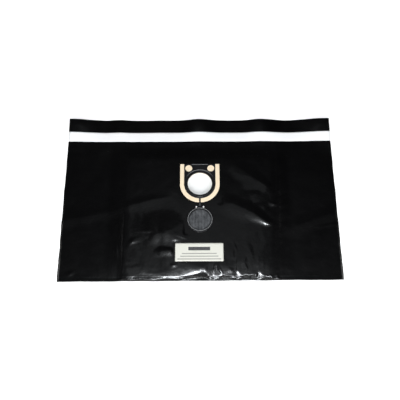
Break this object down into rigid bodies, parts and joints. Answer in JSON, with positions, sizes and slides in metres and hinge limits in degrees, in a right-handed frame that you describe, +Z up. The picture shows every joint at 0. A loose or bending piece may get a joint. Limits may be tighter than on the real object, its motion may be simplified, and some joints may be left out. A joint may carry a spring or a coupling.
{
  "type": "vacuum cleaner disposal bag",
  "caption": "Flat black film bag with a fleece filter bag inside, a flange with a round inlet, a closing plug on a strap, a sealing lip and a label.",
  "frame": {"origin": "on the surface the bag lies on, under the middle of its outline", "axes": "+X across the bag, +Y from the welded bottom towards the sealing lip, +Z up through the flat bag"},
  "size_m": [0.7, 0.45, 0.0135],
  "materials": {
    "black_film": "glossy thin film, creased and puckered",
    "white_fleece": "matte bonded fleece",
    "tan_board": "smooth matte board",
    "black_plastic": "moulded, satin",
    "plug_plastic": "moulded, satin, ribbed floor",
    "white_plastic": "natural white, smooth",
    "adhesive": "tacky clear adhesive layer",
    "liner_paper": "smooth coated release paper",
    "label_paper": "smooth uncoated paper"
  },
  "bodies": {
    "bag": {"film_bag": "black_film", "filter_bag": "white_fleece", "flange_board": "tan_board", "flange_plate": "black_plastic", "adhesive_tape": "adhesive", "release_liner": "liner_paper", "label": "label_paper"},
    "plug": {"closing_plug": "plug_plastic", "lock_peg_left": "white_plastic", "lock_peg_right": "white_plastic"}
  },
  "joints": [
    {"name": "plug_hinge", "type": "hinge", "parent": "bag", "child": "plug", "pos_m": [0, -0.02085, 0.01125], "axis": [-1, 0, 0], "range_deg": [0, 179.9]}
  ]
}
